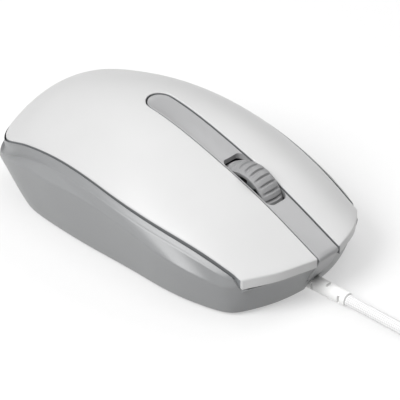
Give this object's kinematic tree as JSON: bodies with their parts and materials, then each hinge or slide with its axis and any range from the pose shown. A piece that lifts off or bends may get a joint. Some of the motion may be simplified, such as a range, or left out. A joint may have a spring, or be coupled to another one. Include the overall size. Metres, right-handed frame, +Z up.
{
  "type": "computer mouse",
  "caption": "Wired desktop mouse: white cover with two keys, grey lower case and centre strip, ribbed scroll wheel, optical sensor, sleeved cord and plug",
  "frame": {"origin": "on the table under the middle of the mouse's length and width", "axes": "+Y forward to the end the cord leaves, +X to the user's right, +Z up"},
  "size_m": [0.0972, 0.2018, 0.0377],
  "materials": {
    "shell_lower": "satin grey moulding",
    "shell_top": "satin white moulding",
    "strip_grey": "satin light grey moulding",
    "foot": "smooth black glide",
    "label": "blank silver-grey film",
    "screw": "zinc-plated steel",
    "board": "green solder resist",
    "switch_case": "black moulding",
    "plunger": "ivory moulding",
    "chip": "black epoxy",
    "clear": "clear moulding",
    "lamp": "clear reddish epoxy",
    "clip": "black moulding",
    "can": "sleeved aluminium can",
    "socket_white": "natural nylon",
    "tyre_grey": "grey elastomer",
    "hub_grey": "grey moulding",
    "spring": "spring wire",
    "cord_white": "woven-textured white jacket",
    "relief_white": "soft white moulding",
    "tie": "white band",
    "plug_white": "white overmould",
    "plug_steel": "nickel-plated steel",
    "plug_tongue": "white moulding",
    "contact": "gold-plated contacts"
  },
  "bodies": {
    "root": {"lower_case": "shell_lower", "top_cover": "shell_top", "centre_strip": "strip_grey", "foot_front": "foot", "foot_rear": "foot", "rating_label": "label", "case_screw": "screw", "board_screws": "screw", "main_board": "board", "left_switch": "switch_case", "right_switch": "switch_case", "middle_switch": "switch_case", "cord_socket": "switch_case", "sensor_chip": "chip", "resistors": "chip", "wheel_emitter": "chip", "wheel_receiver": "chip", "sensor_lens": "clear", "sensor_lamp": "lamp", "lamp_clip": "clip", "capacitor": "can", "socket_plug": "socket_white", "carrier_spring": "spring", "cord_run": "cord_white", "cord_tail": "cord_white", "cord_coil": "cord_white", "inner_lead": "cord_white", "strain_relief": "relief_white", "coil_tie": "tie", "plug_grip": "plug_white", "plug_shell": "plug_steel", "plug_tongue": "plug_tongue", "plug_contacts": "contact"},
    "left_key": {"left_key": "shell_top"},
    "right_key": {"right_key": "shell_top"},
    "left_plunger": {"left_plunger": "plunger"},
    "right_plunger": {"right_plunger": "plunger"},
    "middle_plunger": {"middle_plunger": "plunger"},
    "wheel_carrier": {"wheel_carrier": "hub_grey"},
    "wheel": {"wheel_tyre": "tyre_grey", "wheel_hub": "hub_grey"}
  },
  "joints": [
    {"name": "left_key_press", "type": "hinge", "parent": "root", "child": "left_key", "pos_m": [0, -0.008, 0.0348], "axis": [1, 0, 0], "range_deg": [-0.38, 0], "stiffness_Nm_per_rad": 3, "springref_deg": 0.11},
    {"name": "right_key_press", "type": "hinge", "parent": "root", "child": "right_key", "pos_m": [0, -0.008, 0.0348], "axis": [1, 0, 0], "range_deg": [-0.38, 0], "stiffness_Nm_per_rad": 3, "springref_deg": 0.11},
    {"name": "wheel_click", "type": "hinge", "parent": "root", "child": "wheel_carrier", "pos_m": [0, 0.011, 0.013], "axis": [1, 0, 0], "range_deg": [-1.1, 0], "stiffness_Nm_per_rad": 0.7, "springref_deg": 1.15, "deforming": ["carrier_spring"]},
    {"name": "wheel_spin", "type": "hinge", "parent": "wheel_carrier", "child": "wheel", "pos_m": [0, 0.0276, 0.0197], "axis": [1, 0, 0], "continuous": true},
    {"name": "left_plunger_travel", "type": "slide", "parent": "root", "child": "left_plunger", "axis": [0, 0, 1], "range_m": [-0.0004, 0]},
    {"name": "right_plunger_travel", "type": "slide", "parent": "root", "child": "right_plunger", "axis": [0, 0, 1], "range_m": [-0.0004, 0]},
    {"name": "middle_plunger_travel", "type": "slide", "parent": "root", "child": "middle_plunger", "axis": [0, 0, 1], "range_m": [-0.0004, 0]}
  ],
  "couplings": [
    {"joint": "left_plunger_travel", "follows": "left_key_press", "m_per_rad": 0.0475},
    {"joint": "right_plunger_travel", "follows": "right_key_press", "m_per_rad": 0.0475},
    {"joint": "middle_plunger_travel", "follows": "wheel_click", "m_per_rad": 0.02}
  ]
}
